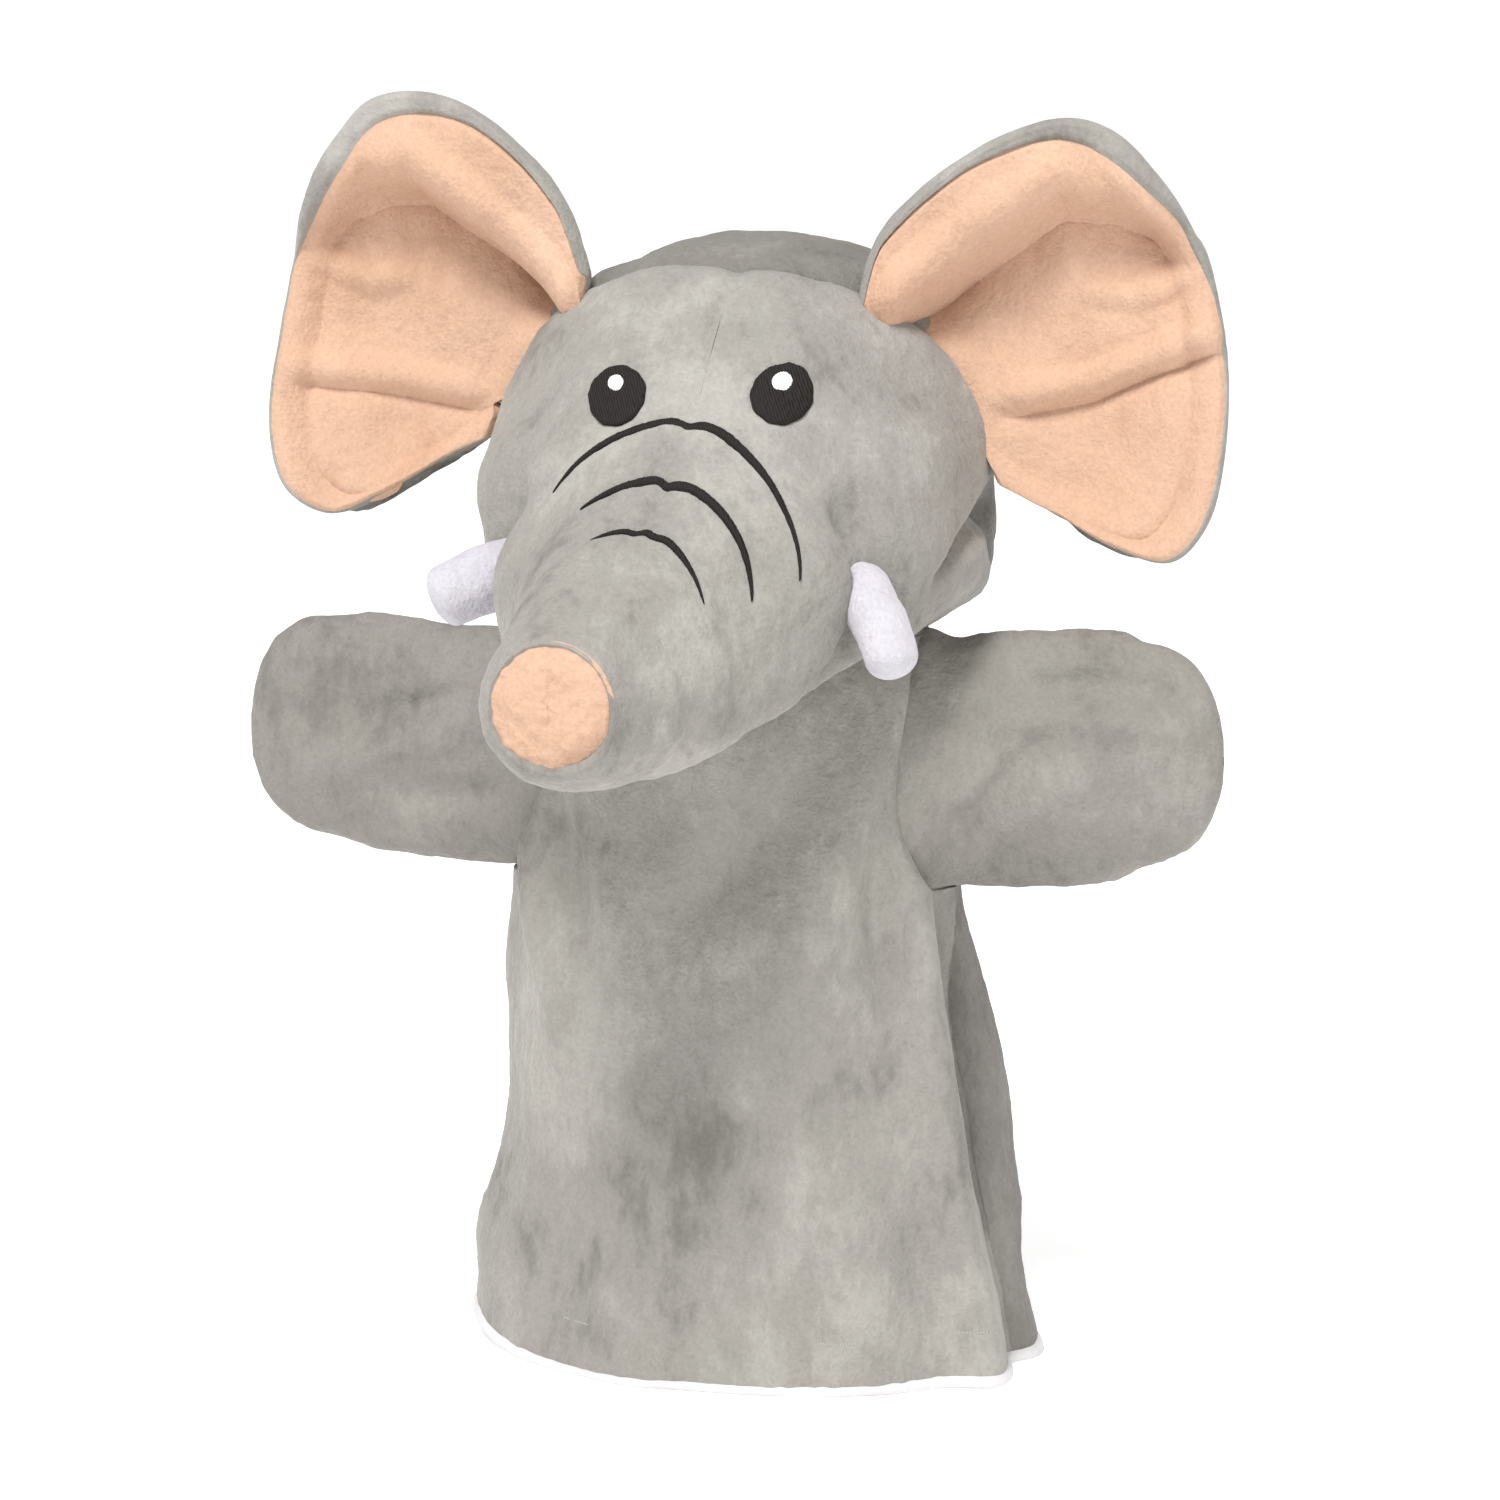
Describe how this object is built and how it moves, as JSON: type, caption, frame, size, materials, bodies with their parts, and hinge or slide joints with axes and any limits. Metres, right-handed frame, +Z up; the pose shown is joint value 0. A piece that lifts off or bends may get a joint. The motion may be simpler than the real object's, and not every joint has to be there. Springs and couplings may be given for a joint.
{
  "type": "plush elephant hand puppet",
  "caption": "Plush elephant glove puppet with an open lined body, stuffed head, cupped ears, bent trunk, tusks and flat arms; head, trunk, ears and arms move.",
  "frame": {"origin": "centre of the part's footprint, on the plane of the hem", "axes": "+Z up from the hem to the ears, -Y is where the face looks, +X is the viewer's right"},
  "size_m": [0.206, 0.142, 0.2566],
  "materials": {
    "plush_grey": "matte",
    "plush_dark": "matte",
    "plush_peach": "matte",
    "tusk_white": "matte",
    "lining_white": "matte",
    "thread_black": "satin",
    "thread_white": "satin",
    "stuffing": "matte"
  },
  "bodies": {
    "torso": {"front_body_panel": "plush_grey", "back_body_panel": "plush_dark", "front_lining": "lining_white", "back_lining": "lining_white", "hem_facing": "lining_white", "hem_stitching": "plush_grey", "left_side_seam": "plush_dark", "right_side_seam": "plush_dark"},
    "neck": {"neck_cloth": "plush_grey", "neck_lining": "lining_white"},
    "head": {"left_face_panel": "plush_grey", "right_face_panel": "plush_grey", "left_cheek_panel": "plush_grey", "right_cheek_panel": "plush_grey", "chin_panel": "plush_grey", "nape_panel": "plush_dark", "back_head_panel": "plush_dark", "head_stuffing": "stuffing", "finger_pocket": "lining_white", "left_eye": "thread_black", "right_eye": "thread_black", "left_eye_highlight": "thread_white", "right_eye_highlight": "thread_white", "left_tusk": "tusk_white", "right_tusk": "tusk_white", "left_tusk_stuffing": "stuffing", "right_tusk_stuffing": "stuffing"},
    "trunk_root": {"trunk_root_cloth": "plush_grey", "trunk_root_core": "stuffing", "upper_crease_stitching": "thread_black", "middle_crease_stitching": "thread_black", "lower_crease_stitching": "thread_black"},
    "trunk_tip": {"trunk_tip_top": "plush_grey", "trunk_tip_underside": "plush_grey", "trunk_tip_stuffing": "stuffing", "trunk_end_patch": "plush_peach"},
    "left_ear": {"left_ear_front": "plush_peach", "left_ear_back": "plush_dark"},
    "right_ear": {"right_ear_front": "plush_peach", "right_ear_back": "plush_dark"},
    "left_shoulder": {"left_shoulder_cloth": "plush_grey"},
    "left_arm": {"left_arm_front": "plush_grey", "left_arm_back": "plush_dark", "left_arm_lining": "lining_white"},
    "right_shoulder": {"right_shoulder_cloth": "plush_grey"},
    "right_arm": {"right_arm_front": "plush_grey", "right_arm_back": "plush_dark", "right_arm_lining": "lining_white"}
  },
  "joints": [
    {"name": "head_turn", "type": "hinge", "parent": "torso", "child": "neck", "pos_m": [0, 0.023, 0.143], "axis": [0, 0, 1], "range_deg": [-40, 40], "stiffness_Nm_per_rad": 0.08, "deforming": ["neck_cloth", "neck_lining"]},
    {"name": "head_nod", "type": "hinge", "parent": "neck", "child": "head", "pos_m": [0, 0.023, 0.156], "axis": [1, 0, 0], "range_deg": [-15, 20], "stiffness_Nm_per_rad": 0.1},
    {"name": "trunk_sway", "type": "hinge", "parent": "head", "child": "trunk_root", "pos_m": [-0.002, -0.0405, 0.16], "axis": [0, 0, 1], "range_deg": [-20, 20], "stiffness_Nm_per_rad": 0.04, "deforming": ["trunk_root_cloth", "upper_crease_stitching", "middle_crease_stitching", "lower_crease_stitching"]},
    {"name": "trunk_lift", "type": "hinge", "parent": "trunk_root", "child": "trunk_tip", "pos_m": [-0.002, -0.0405, 0.16], "axis": [1, 0, 0], "range_deg": [-20, 20], "stiffness_Nm_per_rad": 0.04},
    {"name": "left_ear_flap", "type": "hinge", "parent": "head", "child": "left_ear", "pos_m": [-0.049, 0.026, 0.204], "axis": [0.429, 0, 0.9033], "range_deg": [-20, 30], "stiffness_Nm_per_rad": 0.02},
    {"name": "right_ear_flap", "type": "hinge", "parent": "head", "child": "right_ear", "pos_m": [0.049, 0.026, 0.204], "axis": [-0.429, 0, 0.9033], "range_deg": [-30, 20], "stiffness_Nm_per_rad": 0.02},
    {"name": "left_arm_raise", "type": "hinge", "parent": "torso", "child": "left_shoulder", "pos_m": [-0.044, 0.023, 0.125], "axis": [0, 1, 0], "range_deg": [-25, 25], "stiffness_Nm_per_rad": 0.03, "deforming": ["left_shoulder_cloth"]},
    {"name": "left_arm_clap", "type": "hinge", "parent": "left_shoulder", "child": "left_arm", "pos_m": [-0.044, 0.023, 0.125], "axis": [0, 0, 1], "range_deg": [-10, 60], "stiffness_Nm_per_rad": 0.02},
    {"name": "right_arm_raise", "type": "hinge", "parent": "torso", "child": "right_shoulder", "pos_m": [0.044, 0.023, 0.125], "axis": [0, 1, 0], "range_deg": [-25, 25], "stiffness_Nm_per_rad": 0.03, "deforming": ["right_shoulder_cloth"]},
    {"name": "right_arm_clap", "type": "hinge", "parent": "right_shoulder", "child": "right_arm", "pos_m": [0.044, 0.023, 0.125], "axis": [0, 0, 1], "range_deg": [-60, 10], "stiffness_Nm_per_rad": 0.02}
  ]
}
